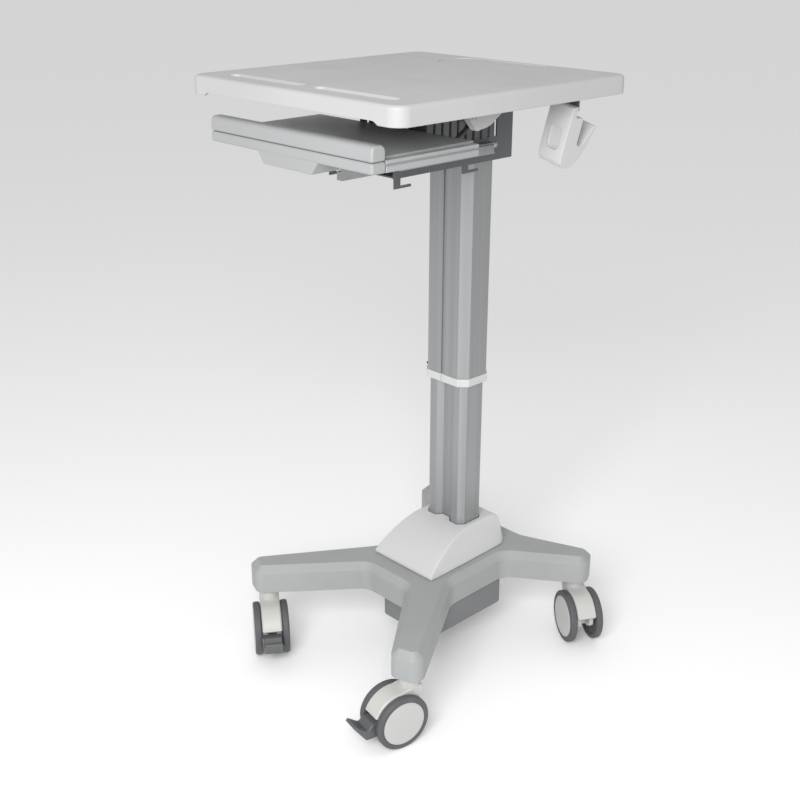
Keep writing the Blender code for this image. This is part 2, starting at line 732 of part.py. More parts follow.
def build_tray():
    rear = tray_front_y + tray_depth
    lip_rear = tray_front_y + lip_depth
    inner_half = tray_half - rail_width - touch_gap
    profile = [
        (tray_front_y, tray_parting + touch_gap, 0), (lip_rear, tray_parting + touch_gap, 0),
        (lip_rear, lip_top, 0.010), (tray_front_y, lip_top, 0.009),
    ]
    upper = prism_object("tray_upper", fillet(profile), -tray_half, tray_half, "tray_grey", "X")
    bevel(upper, 0.004, 3, 50)
    apply_all(upper)
    plate = box_object(
        "tray_plate", (-inner_half, tray_front_y + 0.010, tray_parting + touch_gap),
        (inner_half, rear, tray_top), "white", True,
    )
    boolean(upper, plate, "UNION")
    hollow = [
        (tray_front_y + shell_wall, tray_parting - 0.01), (lip_rear - shell_wall, tray_parting - 0.01),
        (lip_rear - shell_wall, lip_top - 0.006), (tray_front_y + shell_wall, lip_top - 0.006),
    ]
    half = tray_half - shell_wall - 0.002
    boolean(upper, prism_object("lip_hollow", hollow, -half, half, "white", "X", True))
    smooth(upper)

    lower = prism_object(
        "tray_lower",
        fillet([
            (tray_front_y, tray_bottom, 0.004), (lip_rear, tray_bottom, 0), (lip_rear, tray_parting, 0),
            (tray_front_y, tray_parting, 0),
        ]),
        -tray_half, tray_half, "tray_grey", "X",
    )
    bevel(lower, 0.004, 3, 50)
    apply_all(lower)
    deck = box_object(
        "lower_deck", (-inner_half, tray_front_y + 0.010, tray_bottom),
        (inner_half, rear, tray_parting), "white", True,
    )
    boolean(lower, deck, "UNION")
    belly = fillet([
        (-belly_half_top - 0.003, tray_bottom + 0.004, 0), (-belly_half_low, belly_bottom, 0.005),
        (belly_half_low, belly_bottom, 0.005), (belly_half_top + 0.003, tray_bottom + 0.004, 0),
    ])
    belly_end = tray_front_y + belly_depth
    sump = prism_object("belly", belly, tray_front_y + 0.0005, belly_end, "white", "Y", True)
    bevel(sump, 0.003, 2, 60)
    boolean(lower, sump, "UNION")
    wall = shell_wall
    boolean(lower, box_object(
        "deck_hollow", (-inner_half + wall, tray_front_y + wall + 0.002, tray_bottom + wall),
        (inner_half - wall, rear - wall, tray_parting + 0.01), "white", True,
    ))
    boolean(lower, box_object(
        "belly_hollow", (-belly_half_low + wall, tray_front_y + wall + 0.002, belly_bottom + wall),
        (belly_half_low - wall, belly_end - wall, tray_bottom + 0.01), "white", True,
    ))
    smooth(lower)

    for side, name in ((-1, "l"), (1, "r")):
        inboard = tray_half - rail_width
        rail_profile = [
            (inboard, rail_low), (tray_half, rail_low), (tray_half, rail_high - 0.0085),
            (tray_half - 0.003, rail_high - 0.0085), (tray_half - 0.003, rail_high - 0.0055),
            (tray_half, rail_high - 0.0055), (tray_half, rail_high), (inboard, rail_high),
        ]
        outline = [(side * x, z) for x, z in rail_profile]
        rail = prism_object("tray_rail_" + name, outline, lip_rear + touch_gap, rear, "alu_light", "Y")
        bevel(rail, 0.0006, 1, 50)
        apply_all(rail)

        fixed_low = bracket_half + touch_gap
        fixed = [
            (fixed_low, slide_low), (fixed_low + slide_depth, slide_low),
            (fixed_low + slide_depth, slide_low + 0.002),
            (fixed_low + 0.002, slide_low + 0.002), (fixed_low + 0.002, slide_high - 0.002),
            (fixed_low + slide_depth, slide_high - 0.002), (fixed_low + slide_depth, slide_high),
            (fixed_low, slide_high),
        ]
        start = tongue_front_y + 0.002
        outline = [(side * x, z) for x, z in fixed]
        prism_object("slide_fixed_" + name, outline, start, start + slide_length, "chrome", "Y")

        bar_in = fixed_low + 0.0025
        bar_out = fixed_low + slide_depth + 0.0003
        web_out = bar_out + 0.002
        web_top = tray_bottom - touch_gap
        begin = tray_front_y + 0.030
        bar_low, bar_high = slide_low + 0.0025, slide_high - 0.0025
        spans = [
            (bar_in, web_out, begin + runner_length, bar_low, bar_high),
            (bar_out, web_out, rear, bar_low, web_top),
            (bar_out, web_out + 0.012, rear, web_top - 0.002, web_top),
        ]
        boxes = []
        for near, far, end, low, high in spans:
            left, right = sorted((side * near, side * far))
            boxes.append(((left, begin, low), (right, end, high)))
        bar = box_object("slide_runner_" + name, *boxes[0], "chrome")
        union_boxes(bar, boxes[1:])


def build_lever():
    y, z = lever_y, lever_z
    outline = fillet([
        (y - 0.011, z + 0.027, 0.002), (y - 0.011, z + 0.001, 0.002), (y + 0.010, z - 0.022, 0.004),
        (y + 0.038, z - 0.017, 0.030), (y + 0.066, z + 0.001, 0.020), (y + 0.080, z + 0.027, 0.002),
    ], 4)
    fin = prism_object("release_lever", outline, lever_low_x, lever_high_x, "white", "X")
    bevel(fin, 0.0025, 2, 40)
    apply_all(fin)
    bore = [(0, -0.03), (lever_bore, -0.03), (lever_bore, 0.03), (0, 0.03)]
    centre = ((lever_low_x + lever_high_x) / 2, y, z)
    boolean(fin, turned_object("fin_bore", bore, "X", centre, "white", 24, True))
    smooth(fin)

    ceiling = underside - touch_gap
    tab = fillet([
        (y - 0.009, ceiling, 0), (y - 0.009, z - 0.009, 0.006), (y + 0.009, z - 0.009, 0.006),
        (y + 0.009, ceiling, 0),
    ], 4)
    tab_high_x = lever_low_x - touch_gap
    mount = prism_object("lever_mount", tab, tab_high_x - sheet, tab_high_x, "steel_dark", "X")
    union_boxes(mount, [(
        (tab_high_x - 0.025, y - 0.015, ceiling - sheet), (tab_high_x - lap, y + 0.015, ceiling),
    )])
    bore = [(0, -sheet), (lever_bore, -sheet), (lever_bore, sheet), (0, sheet)]
    middle = tab_high_x - sheet / 2
    boolean(mount, turned_object("mount_bore", bore, "X", (middle, y, z), "white", 24, True))
    inside, outside = tab_high_x - sheet - touch_gap, lever_high_x + touch_gap
    shank, head = lever_bore - touch_gap, 0.0052
    pin = [
        (0, inside - 0.0017), (head, inside - 0.0017), (head, inside), (shank, inside), (shank, outside),
        (head, outside), (head, outside + 0.0015), (head - 0.0014, outside + 0.0025), (0, outside + 0.0025),
    ]
    smooth(turned_object("lever_pin", pin, "X", (0, y, z), "chrome", 24))

    path = [
        (lever_low_x - 0.0065, y + 0.0120, z - 0.0170), (lever_low_x - 0.014, y + 0.0145, z - 0.0240),
        (lever_low_x - 0.024, y + 0.0135, z - 0.0330), (lever_low_x - 0.033, y + 0.0125, z - 0.0420),
        (lever_low_x - 0.042, y + 0.0115, z - 0.0520), (lever_low_x - 0.054, y + 0.0110, z - 0.0585),
        (bracket_half + touch_gap + 0.0005, y + 0.0110, z - 0.0595),
    ]
    sheath = [0.0042, 0.0042, 0.0040, 0.0034, 0.0022, 0.0022, 0.0022]
    curve = bpy.data.curves.new("release_cable", "CURVE")
    curve.dimensions = "3D"
    curve.bevel_depth = 1.0
    curve.bevel_resolution = 2
    curve.use_fill_caps = True
    spline = curve.splines.new("POLY")
    spline.points.add(len(path) - 1)
    for point, place_at, radius in zip(spline.points, path, sheath):
        point.co = (*place_at, 1)
        point.radius = radius
    cable = to_mesh(evaluated_mesh(curve, "release_cable"), "release_cable")
    smooth(place("release_cable", cable, "black"))


def build_hook():
    y, z = hook_y, hook_z
    back = y + 0.0327
    outline = fillet([
        (y + 0.020, z, 0.004), (y + 0.016, z - 0.075, 0.030), (y + 0.017, z - 0.103, 0.016),
        (y + 0.052, z - 0.103, 0.022), (y + 0.074, z - 0.078, 0.020), (y + 0.0915, z - 0.038, 0.003),
        (y + 0.0855, z - 0.036, 0.003), (y + 0.064, z - 0.067, 0.009), (y + 0.050, z - 0.068, 0.006),
        (y + 0.052, z - 0.020, 0.006), (back, z - 0.018, 0.0), (back, z, 0.002),
    ], 5)
    hook = prism_object("bag_hook", outline, hook_low_x, hook_high_x, "white", "X")
    bevel(hook, 0.0030, 2, 50)
    apply_all(hook)
    pivot = Matrix.Translation(((hook_low_x + hook_high_x) / 2, 0, z - 0.103))
    hook.data.transform(pivot @ Matrix.Rotation(math.radians(hook_lean), 4, "Y") @ pivot.inverted())
    smooth(hook)
    lean_x = 0.100 * math.sin(math.radians(hook_lean))
    low_x, high_x = hook_low_x + lean_x - 0.001, hook_high_x + lean_x - 0.003
    ceiling = underside - touch_gap
    front = back + touch_gap
    plate = box_object(
        "hook_plate", (low_x, front, z - 0.0142), (high_x, front + sheet, ceiling), "steel_dark",
    )
    union_boxes(plate, [((low_x, front + lap / 2, ceiling - sheet), (high_x, y + 0.058, ceiling))])


def turned_hole(radius):
    return [(0, 0.05), (radius, 0.05), (radius, -0.05), (0, -0.05)]


def hub_point():
    return (wheel_trail, 0.0, wheel_radius)


def caster_frame(index):
    x, y = caster_places()[index]
    heading = caster_headings[index]
    return Matrix.Translation((x, y, 0)) @ Matrix.Rotation(math.radians(heading), 4, "Z")


def arc(centre, radius, start, end, steps):
    points = []
    for step in range(steps + 1):
        angle = math.radians(start + (end - start) * step / steps)
        points.append((centre[0] + radius * math.cos(angle), centre[1] + radius * math.sin(angle)))
    return points


def caster_meshes():
    """Each mesh is drawn with the swivel axis on Z through the origin and the trail along +X."""
    hub = (wheel_trail, wheel_radius)
    outer = arc(hub, wheel_radius + 0.001, 108, 22, 8)[1:]
    lower = [(0.0773, 0.0665), (0.066, 0.0625), (0.066, 0.044), (0.053, 0.038)]
    lower += arc(hub, 0.016, -50, -160, 5) + [(0.010, 0.060), (-0.012, 0.080)]
    outline = [(-0.018, 0.090), (-0.018, 0.104), (0.008, 0.104)] + outer + lower
    body = prism_object("caster_body_master", outline, -body_half, body_half, "cream", "Y", True)
    bevel(body, 0.0025, 1, 45)
    neck = [
        (0, 0.095), (neck_radius, 0.095), (neck_radius, base_low - touch_gap - 0.0015),
        (neck_radius - 0.0015, base_low - touch_gap), (0, base_low - touch_gap),
    ]
    boolean(body, turned_object("neck", neck, "Z", (0, 0, 0), "white", 32, True), "UNION")
    stem_wall = stem_radius + touch_gap
    stem_hole = [(0, stem_floor), (stem_wall, stem_floor), (stem_wall, 0.15), (0, 0.15)]
    boolean(body, turned_object("body_stem_hole", stem_hole, "Z", (0, 0, 0), "white", 24, True))
    axle_hole = turned_hole(axle_radius + touch_gap)
    boolean(body, turned_object("body_axle_hole", axle_hole, "Y", hub_point(), "white", 24, True))
    slot_low = (pedal_pin[0] - 0.0095, -tongue_half - 0.0005, 0.030)
    slot_high = (0.095, tongue_half + 0.0005, 0.0615)
    boolean(body, box_object("pedal_slot", slot_low, slot_high, "white", True))
    pin_hole = turned_hole(pin_radius + touch_gap)
    pin_centre = (pedal_pin[0], 0, pedal_pin[1])
    boolean(body, turned_object("body_pin_hole", pin_hole, "Y", pin_centre, "white", 16, True))
    apply_all(body)
    smooth(body)
    return body


def build_wheel_meshes():
    side = {}
    for sign, name in ((1, "l"), (-1, "r")):
        inner, outer = wheel_in, wheel_out
        tyre = [
            (axle_radius + touch_gap, inner), (wheel_radius - tyre_round, inner),
            (wheel_radius, inner + tyre_round),
            (wheel_radius, outer - tyre_round), (wheel_radius - tyre_round, outer - 0.0006),
            (disc_radius + touch_gap, outer - 0.0006), (disc_radius + touch_gap, outer - 0.0050),
            (axle_radius + touch_gap, outer - 0.0050),
        ]
        cap = [
            (0, outer - 0.0050 + touch_gap), (disc_radius, outer - 0.0050 + touch_gap),
            (disc_radius, outer - 0.0010),
            (disc_radius - 0.001, outer), (0, outer + 0.0012),
        ]
        for kind, profile in (("tyre", tyre), ("cap", cap)):
            mirrored = [(radius, sign * along) for radius, along in profile]
            side[kind + name] = turned_mesh(f"{kind}_{name}_mesh", mirrored, "Y", (0, 0, 0), wheel_steps)
            side[kind + name].shade_smooth()
            side[kind + name].set_sharp_from_angle(angle=math.radians(35))
    return side


def build_pedal_mesh():
    outline = fillet([
        (0.0690, 0.0590, 0.002), (0.0690, 0.030, 0.003), (0.076, 0.020, 0.004), (0.088, 0.020, 0.004),
        (0.096, 0.034, 0.006), (0.117, 0.062, 0.002), (0.113, 0.066, 0.002), (0.092, 0.050, 0.006),
        (0.083, 0.0590, 0.003),
    ], 3)
    pedal = prism_object("pedal_master", outline, -pedal_half, pedal_half, "tyre", "Y", True)
    bevel(pedal, 0.0015, 1, 45)
    apply_all(pedal)
    tongue = box_object(
        "tongue", (pedal_pin[0] - 0.0080, -tongue_half, pedal_pin[1] - 0.0075),
        (0.0720, tongue_half, pedal_pin[1] + 0.0065), "white", True,
    )
    boolean(pedal, tongue, "UNION")
    bore = turned_hole(pin_radius + pedal_clear)
    pin_centre = (pedal_pin[0], 0, pedal_pin[1])
    boolean(pedal, turned_object("pedal_bore", bore, "Y", pin_centre, "white", 16, True))
    apply_all(pedal)
    pedal.data.transform(Matrix.Translation((-pedal_pin[0], 0, -pedal_pin[1])))
    smooth(pedal)
    return pedal.data


def build_casters():
    body = caster_meshes()
    wheels = build_wheel_meshes()
    pedal = build_pedal_mesh()
    stem_low, stem_high = stem_floor + touch_gap, base_low + stem_rise
    stem = [
        (0, stem_low), (stem_radius, stem_low), (stem_radius, stem_high - 0.001),
        (stem_radius - 0.001, stem_high), (0, stem_high),
    ]
    stem_data = turned_mesh("stem_mesh", stem, "Z", (0, 0, 0), 16)
    axle = [(0, -axle_half), (axle_radius, -axle_half), (axle_radius, axle_half), (0, axle_half)]
    half = body_half - 0.001
    pin = [(0, -half), (pin_radius, -half), (pin_radius, half), (0, half)]
    pin_data = turned_mesh("pin_mesh", pin, "Y", (0, 0, 0), 16)
    axle_data = turned_mesh("axle_mesh", axle, "Y", (0, 0, 0), 16)
    for index, tag in enumerate(("fl", "fr", "rr", "rl")):
        frame = caster_frame(index)
        at_hub = frame @ Matrix.Translation(hub_point())
        pieces = [
            ("caster_body_" + tag, body.data, "cream", frame),
            ("caster_stem_" + tag, stem_data, "chrome", frame),
            ("caster_axle_" + tag, axle_data, "chrome", at_hub),
            ("wheel_" + tag + "_l", wheels["tyrel"], "tyre", at_hub),
            ("wheel_" + tag + "_r", wheels["tyrer"], "tyre", at_hub),
            ("wheel_cap_" + tag + "_l", wheels["capl"], "cap", at_hub),
            ("wheel_cap_" + tag + "_r", wheels["capr"], "cap", at_hub),
        ]
        if index < 2:
            at_pin = frame @ Matrix.Translation((pedal_pin[0], 0, pedal_pin[1]))
            pieces.append(("brake_pedal_" + tag, pedal, "tyre", at_pin))
            pieces.append(("pedal_pin_" + tag, pin_data, "chrome", at_pin))
        for name, data, key, matrix in pieces:
            obj = place(name, data.copy(), key)
            obj.matrix_world = matrix


build_base()
build_cover()
build_box()
column_foot, column_head = build_column()
build_gas_spring(column_foot, column_head)
build_bracket()
build_worksurface()
build_tray()
build_lever()
build_hook()
build_casters()
lift_axis = parent_to("lift_axis", (0, column_y, 0), [
    "column_outer", "column_ring", "column_glide", "column_head", "gas_rod", "bracket", "bracket_screw_l",
    "bracket_screw_r", "worksurface", "hook_plate", "bag_hook", "lever_mount", "lever_pin", "release_cable",
    "slide_fixed_l", "slide_fixed_r",
])
tray_axis = parent_to("tray_axis", (0, tray_front_y, tray_parting), [
    "tray_upper", "tray_lower", "tray_rail_l", "tray_rail_r", "slide_runner_l", "slide_runner_r",
])
lever_axis = parent_to("lever_axis", (0, lever_y, lever_z), ["release_lever"])
tray_axis.parent = lift_axis
tray_axis.matrix_parent_inverse = lift_axis.matrix_world.inverted()
lever_axis.parent = lift_axis
lever_axis.matrix_parent_inverse = lift_axis.matrix_world.inverted()
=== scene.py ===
import json
import math

import bmesh
import bpy
from mathutils import Matrix, Vector


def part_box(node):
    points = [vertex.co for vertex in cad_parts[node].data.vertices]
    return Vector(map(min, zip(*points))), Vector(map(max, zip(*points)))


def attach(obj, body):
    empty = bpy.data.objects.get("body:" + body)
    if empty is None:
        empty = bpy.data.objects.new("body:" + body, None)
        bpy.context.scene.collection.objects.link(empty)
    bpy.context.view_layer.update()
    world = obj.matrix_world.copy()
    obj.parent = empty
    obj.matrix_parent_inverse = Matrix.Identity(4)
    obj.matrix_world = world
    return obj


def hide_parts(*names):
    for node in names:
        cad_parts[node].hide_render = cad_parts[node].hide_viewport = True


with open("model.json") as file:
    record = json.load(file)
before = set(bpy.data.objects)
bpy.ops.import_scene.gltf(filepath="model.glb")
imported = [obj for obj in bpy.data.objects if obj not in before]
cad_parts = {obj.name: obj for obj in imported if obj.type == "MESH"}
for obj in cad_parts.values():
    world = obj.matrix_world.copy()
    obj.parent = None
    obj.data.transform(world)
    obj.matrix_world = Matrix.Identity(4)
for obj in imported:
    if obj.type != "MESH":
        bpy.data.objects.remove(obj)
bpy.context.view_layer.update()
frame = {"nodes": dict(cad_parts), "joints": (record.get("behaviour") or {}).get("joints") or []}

joints = {joint["name"]: joint for joint in frame["joints"]}
bpy.ops.object.select_all(action="DESELECT")


sameSpot = 1e-5  # two levels or points this close count as one
closeBy = 1e-4
mergeGap = 0.00002
flatAngle = 0.5  # degrees, up to which neighbouring faces are joined into one


def finishEdit():
    if bpy.context.mode != "OBJECT":
        bpy.ops.object.mode_set(mode="OBJECT")
    bpy.ops.object.select_all(action="DESELECT")


def only(piece):
    finishEdit()
    piece.select_set(True)
    bpy.context.view_layer.objects.active = piece


def applyPlace(piece):
    only(piece)
    bpy.ops.object.transform_apply(location=True, rotation=True, scale=True)
    finishEdit()


def addBlock(name, low, high):
    finishEdit()
    middle = [(a + b) / 2 for a, b in zip(low, high)]
    bpy.ops.mesh.primitive_cube_add(size=1, location=middle)
    piece = bpy.context.object
    piece.name = name
    piece.scale = [b - a for a, b in zip(low, high)]
    applyPlace(piece)
    return piece


def addDrum(name, centre, radius, depth, vertices):
    finishEdit()
    lying = (math.pi / 2, 0, 0)  # the axis runs from front to rear
    bpy.ops.mesh.primitive_cylinder_add(
        vertices=vertices, radius=radius, depth=depth, location=centre, rotation=lying)
    piece = bpy.context.object
    piece.name = name
    applyPlace(piece)
    return piece


def pickFaces(piece, test):
    only(piece)
    bpy.ops.object.mode_set(mode="EDIT")
    bpy.ops.mesh.select_mode(type="FACE")
    bpy.ops.mesh.select_all(action="DESELECT")
    mesh = bmesh.from_edit_mesh(piece.data)
    for face in mesh.faces:
        if test(face.calc_center_median(), face.normal):
            face.select_set(True)
    bmesh.update_edit_mesh(piece.data)


def pickEdges(piece, test):
    only(piece)
    bpy.ops.object.mode_set(mode="EDIT")
    bpy.ops.mesh.select_mode(type="EDGE")
    bpy.ops.mesh.select_all(action="DESELECT")
    mesh = bmesh.from_edit_mesh(piece.data)
    for edge in mesh.edges:
        a, b = edge.verts[0].co, edge.verts[1].co
        if test(a, b):
            edge.select_set(True)
    mesh.select_flush(False)
    bmesh.update_edit_mesh(piece.data)


def roundPicked(width, segments):
    bpy.ops.mesh.bevel(offset=width, segments=segments, affect="EDGES")


def uprights(piece, width, segments):
    pickEdges(piece, lambda a, b: abs(a.z - b.z) > closeBy and (a.xy - b.xy).length < sameSpot)
    roundPicked(width, segments)
    finishEdit()


def modify(piece, kind, **settings):
    only(piece)
    modifier = piece.modifiers.new(kind.lower(), kind)
    for key, value in settings.items():
        setattr(modifier, key, value)
    bpy.ops.object.modifier_apply(modifier=modifier.name)
    finishEdit()


def cut(piece, cutter):
    modify(piece, "BOOLEAN", object=cutter, operation="DIFFERENCE", solver="EXACT")
    bpy.data.objects.remove(cutter)


def softenEdges(piece, width, segments, angle):
    modify(piece, "BEVEL", width=width, segments=segments, limit_method="ANGLE",
           angle_limit=math.radians(angle), use_clamp_overlap=True, harden_normals=False)


def mergedCopy(name, node):
    source = frame["nodes"][node]
    piece = bpy.data.objects.new(name, source.data.copy())
    bpy.context.scene.collection.objects.link(piece)
    only(piece)
    bpy.ops.object.mode_set(mode="EDIT")
    bpy.ops.mesh.select_all(action="SELECT")
    bpy.ops.mesh.remove_doubles(threshold=mergeGap)
    bpy.ops.mesh.dissolve_limited(angle_limit=math.radians(flatAngle))
    finishEdit()
    piece.data.materials.clear()
    return piece


def smoothByAngle(piece, angle):
    only(piece)
    bpy.ops.object.shade_smooth_by_angle(angle=math.radians(angle))
    finishEdit()


def settle(piece, body, material, nodes, angle=35):
    smoothByAngle(piece, angle)
    modify(piece, "WEIGHTED_NORMAL", keep_sharp=True, weight=100)
    piece.data.materials.clear()
    piece.data.materials.append(material)
    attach(piece, body)
    if nodes:
        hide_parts(*nodes)


# the shader groups are built once, and each material gives them its own values
def newGroup(name, inputs, outputs):
    group = bpy.data.node_groups.new(name, "ShaderNodeTree")
    for label, value in inputs:
        socket = group.interface.new_socket(label, in_out="INPUT", socket_type="NodeSocketFloat")
        socket.default_value = value
    for label in outputs:
        group.interface.new_socket(label, in_out="OUTPUT", socket_type="NodeSocketFloat")
    return group, group.nodes.new("NodeGroupInput"), group.nodes.new("NodeGroupOutput")


def math2(tree, operation, a, b, clamp=False):
    node = tree.nodes.new("ShaderNodeMath")
    node.operation = operation
    node.use_clamp = clamp
    for socket, value in zip(node.inputs, (a, b)):
        if isinstance(value, (int, float)):
            socket.default_value = value
        else:
            tree.links.new(value, socket)
    return node.outputs[0]


def buildMouldGrain():
    group, inlet, outlet = newGroup("mouldGrain", [("Scale", 900.0)], ["Height", "Tone"])
    place = group.nodes.new("ShaderNodeTexCoord")
    fine = group.nodes.new("ShaderNodeTexNoise")
    fine.inputs["Detail"].default_value = 3
    fine.inputs["Roughness"].default_value = 0.6
    pits = group.nodes.new("ShaderNodeTexVoronoi")
    pits.feature = "SMOOTH_F1"
    broad = group.nodes.new("ShaderNodeTexNoise")
    broad.inputs["Scale"].default_value = 9
    broad.inputs["Detail"].default_value = 4
    for node in (fine, pits, broad):
        group.links.new(place.outputs["Object"], node.inputs["Vector"])
    group.links.new(inlet.outputs["Scale"], fine.inputs["Scale"])
    group.links.new(math2(group, "MULTIPLY", inlet.outputs["Scale"], 0.6), pits.inputs["Scale"])
    both = math2(group, "ADD", fine.outputs["Fac"], pits.outputs["Distance"])
    group.links.new(both, outlet.inputs["Height"])
    group.links.new(broad.outputs["Fac"], outlet.inputs["Tone"])
    return group


def buildEdgeRub():
    group, inlet, outlet = newGroup("edgeRub", [("Radius", 0.0012), ("Amount", 1.0)], ["Mask"])
    rounded = group.nodes.new("ShaderNodeBevel")
    rounded.samples = 4
    group.links.new(inlet.outputs["Radius"], rounded.inputs["Radius"])
    surface = group.nodes.new("ShaderNodeNewGeometry")
    dot = group.nodes.new("ShaderNodeVectorMath")
    dot.operation = "DOT_PRODUCT"
    group.links.new(rounded.outputs["Normal"], dot.inputs[0])
    group.links.new(surface.outputs["Normal"], dot.inputs[1])
    away = math2(group, "SUBTRACT", 1.0, dot.outputs["Value"])
    away = math2(group, "MULTIPLY", away, 4.0, True)
    place = group.nodes.new("ShaderNodeTexCoord")
    noise = group.nodes.new("ShaderNodeTexNoise")
    noise.inputs["Scale"].default_value = 60
    noise.inputs["Detail"].default_value = 5
    group.links.new(place.outputs["Object"], noise.inputs["Vector"])
    broken = math2(group, "MULTIPLY", away, noise.outputs["Fac"])
    mask = math2(group, "MULTIPLY", broken, inlet.outputs["Amount"], True)
    group.links.new(mask, outlet.inputs["Mask"])
    return group


def buildHandling():
    group, inlet, outlet = newGroup("handling", [("Scale", 14.0)], ["Smear", "Scratch"])
    place = group.nodes.new("ShaderNodeTexCoord")
    smear = group.nodes.new("ShaderNodeTexNoise")
    smear.inputs["Detail"].default_value = 6
    smear.inputs["Distortion"].default_value = 0.6
    group.links.new(place.outputs["Object"], smear.inputs["Vector"])
    group.links.new(inlet.outputs["Scale"], smear.inputs["Scale"])
    stretch = group.nodes.new("ShaderNodeMapping")
    stretch.inputs["Rotation"].default_value = (0.2, 0.1, 0.7)
    stretch.inputs["Scale"].default_value = (1.0, 26.0, 26.0)
    group.links.new(place.outputs["Object"], stretch.inputs["Vector"])
    lines = group.nodes.new("ShaderNodeTexNoise")
    lines.inputs["Scale"].default_value = 12
    lines.inputs["Detail"].default_value = 2
    group.links.new(stretch.outputs["Vector"], lines.inputs["Vector"])
    ramp = group.nodes.new("ShaderNodeMapRange")
    ramp.inputs["From Min"].default_value = 0.66
    ramp.inputs["From Max"].default_value = 0.72
    group.links.new(lines.outputs["Fac"], ramp.inputs["Value"])
    group.links.new(smear.outputs["Fac"], outlet.inputs["Smear"])
    group.links.new(ramp.outputs["Result"], outlet.inputs["Scratch"])
    return group


def buildDrawnLines():
    group, inlet, outlet = newGroup("drawnLines", [("Spacing", 700.0)], ["Height", "Tone"])
    place = group.nodes.new("ShaderNodeTexCoord")
    stretch = group.nodes.new("ShaderNodeMapping")
    stretch.inputs["Scale"].default_value = (1.0, 1.0, 0.006)
    group.links.new(place.outputs["Object"], stretch.inputs["Vector"])
    fine = group.nodes.new("ShaderNodeTexNoise")
    fine.inputs["Detail"].default_value = 4
    group.links.new(stretch.outputs["Vector"], fine.inputs["Vector"])
    group.links.new(inlet.outputs["Spacing"], fine.inputs["Scale"])
    wide = group.nodes.new("ShaderNodeTexNoise")
    wide.inputs["Scale"].default_value = 90
    group.links.new(stretch.outputs["Vector"], wide.inputs["Vector"])
    group.links.new(fine.outputs["Fac"], outlet.inputs["Height"])
    group.links.new(wide.outputs["Fac"], outlet.inputs["Tone"])
    return group


mouldGrain = buildMouldGrain()
edgeRub = buildEdgeRub()
handling = buildHandling()
drawnLines = buildDrawnLines()


def useGroup(tree, group, **values):
    node = tree.nodes.new("ShaderNodeGroup")
    node.node_tree = group
    for key, value in values.items():
        node.inputs[key].default_value = value
    return node


def tint(colour, factor):
    return tuple(min(1.0, channel * factor) for channel in colour) + (1.0,)


def mixColour(tree, factor, first, second):
    node = tree.nodes.new("ShaderNodeMix")
    node.data_type = "RGBA"
    tree.links.new(factor, node.inputs[0])
    for socket, value in ((node.inputs[6], first), (node.inputs[7], second)):
        if isinstance(value, tuple):
            socket.default_value = value
        else:
            tree.links.new(value, socket)
    return node.outputs[2]


def spread(tree, value, low, high, fromLow=0.3, fromHigh=0.7):
    node = tree.nodes.new("ShaderNodeMapRange")
    node.inputs["From Min"].default_value = fromLow
    node.inputs["From Max"].default_value = fromHigh
    node.inputs["To Min"].default_value = low
    node.inputs["To Max"].default_value = high
    tree.links.new(value, node.inputs["Value"])
    return node.outputs["Result"]


def startMaterial(name, roughness, metallic):
    material = bpy.data.materials.new(name)
    material.use_nodes = True
    tree = material.node_tree
    shader = tree.nodes["Principled BSDF"]
    shader.inputs["Metallic"].default_value = metallic
    shader.inputs["Roughness"].default_value = roughness
    return material, tree, shader


def bumpFrom(tree, shader, height, distance, strength):
    bump = tree.nodes.new("ShaderNodeBump")
    bump.inputs["Distance"].default_value = distance
    bump.inputs["Strength"].default_value = strength
    tree.links.new(height, bump.inputs["Height"])
    tree.links.new(bump.outputs["Normal"], shader.inputs["Normal"])


def plastic(name, colour, roughness, grain, depth, wear):
    material, tree, shader = startMaterial(name, roughness, 0.0)
    texture = useGroup(tree, mouldGrain, Scale=grain)
    marks = useGroup(tree, handling)
    rub = useGroup(tree, edgeRub, Amount=wear)
    tone = spread(tree, texture.outputs["Tone"], 0.0, 1.0)
    base = mixColour(tree, tone, tint(colour, 0.965), tint(colour, 1.02))
    worn = mixColour(tree, rub.outputs["Mask"], base, tint(colour, 1.12))
    scratch = math2(tree, "MULTIPLY", marks.outputs["Scratch"], 0.08)
    tree.links.new(mixColour(tree, scratch, worn, tint(colour, 0.75)), shader.inputs["Base Color"])
    rough = spread(tree, marks.outputs["Smear"], roughness - 0.05, roughness + 0.07)
    tree.links.new(rough, shader.inputs["Roughness"])
    bumpFrom(tree, shader, texture.outputs["Height"], depth, 0.6)
    return material


def powderCoat(name, colour, roughness, grain=420.0, depth=0.00012, metallic=0.0):
    material, tree, shader = startMaterial(name, roughness, metallic)
    peel = useGroup(tree, mouldGrain, Scale=grain)
    marks = useGroup(tree, handling, Scale=9.0)
    rub = useGroup(tree, edgeRub, Amount=0.5, Radius=0.0015)
    tone = spread(tree, peel.outputs["Tone"], 0.0, 1.0)
    base = mixColour(tree, tone, tint(colour, 0.96), tint(colour, 1.03))
    worn = mixColour(tree, rub.outputs["Mask"], base, tint(colour, 1.25))
    tree.links.new(worn, shader.inputs["Base Color"])
    rough = spread(tree, marks.outputs["Smear"], roughness - 0.06, roughness + 0.08)
    tree.links.new(rough, shader.inputs["Roughness"])
    bumpFrom(tree, shader, peel.outputs["Height"], depth, 0.55)
    return material


